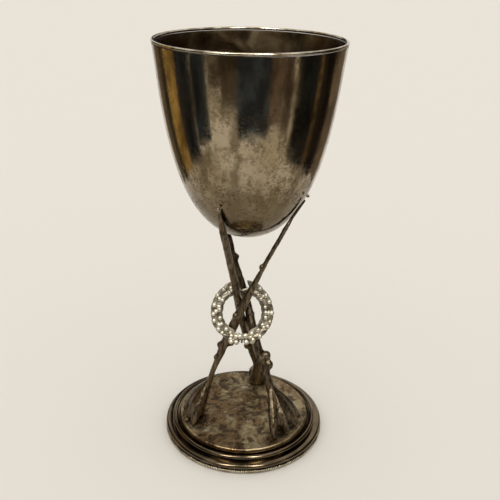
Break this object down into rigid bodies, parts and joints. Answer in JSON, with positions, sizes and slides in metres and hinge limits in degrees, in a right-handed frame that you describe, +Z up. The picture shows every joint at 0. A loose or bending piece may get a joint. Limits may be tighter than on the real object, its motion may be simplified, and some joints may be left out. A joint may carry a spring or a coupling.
{
  "type": "cup trophy",
  "caption": "Goblet cup trophy: a thin tarnished silver bowl on crossed rustic branches tied with a laurel wreath, over a stepped round foot.",
  "frame": {"origin": "middle of the foot's underside, on the surface it stands on", "axes": "+Z up along the cup's axis, -Y to the front, +X to the right seen from the front"},
  "size_m": [0.08, 0.08, 0.19],
  "materials": {
    "bowl_silver": "polished silver plate with brown and black tarnish, over brass",
    "edge_silver": "silver plate, rubbed bright along its edge",
    "foot_silver": "silver plate, toned brown in the steps",
    "rustic_ground": "rough cast ground, dark toned plate",
    "branch_bark": "cast bark relief, dark toned plate",
    "wreath_silver": "cast leaves and berries, plate worn bright on the high points",
    "solder": "dull soft solder",
    "fastener_brass": "old unplated brass"
  },
  "bodies": {
    "root": {"bowl": "bowl_silver", "lip_wire": "edge_silver", "branch_front": "branch_bark", "branch_right": "branch_bark", "branch_back": "branch_bark", "bowl_solder_front": "solder", "bowl_solder_right": "solder", "bowl_solder_back": "solder", "wreath_left": "wreath_silver", "wreath_right": "wreath_silver", "wreath_tie": "wreath_silver", "wreath_solder_front": "solder", "wreath_solder_back": "solder", "ground_plate": "rustic_ground", "foot": "foot_silver", "milled_wire": "edge_silver", "stud_front": "fastener_brass", "washer_front": "fastener_brass", "nut_front": "fastener_brass", "stud_right": "fastener_brass", "washer_right": "fastener_brass", "nut_right": "fastener_brass", "stud_back": "fastener_brass", "washer_back": "fastener_brass", "nut_back": "fastener_brass"}
  },
  "joints": []
}
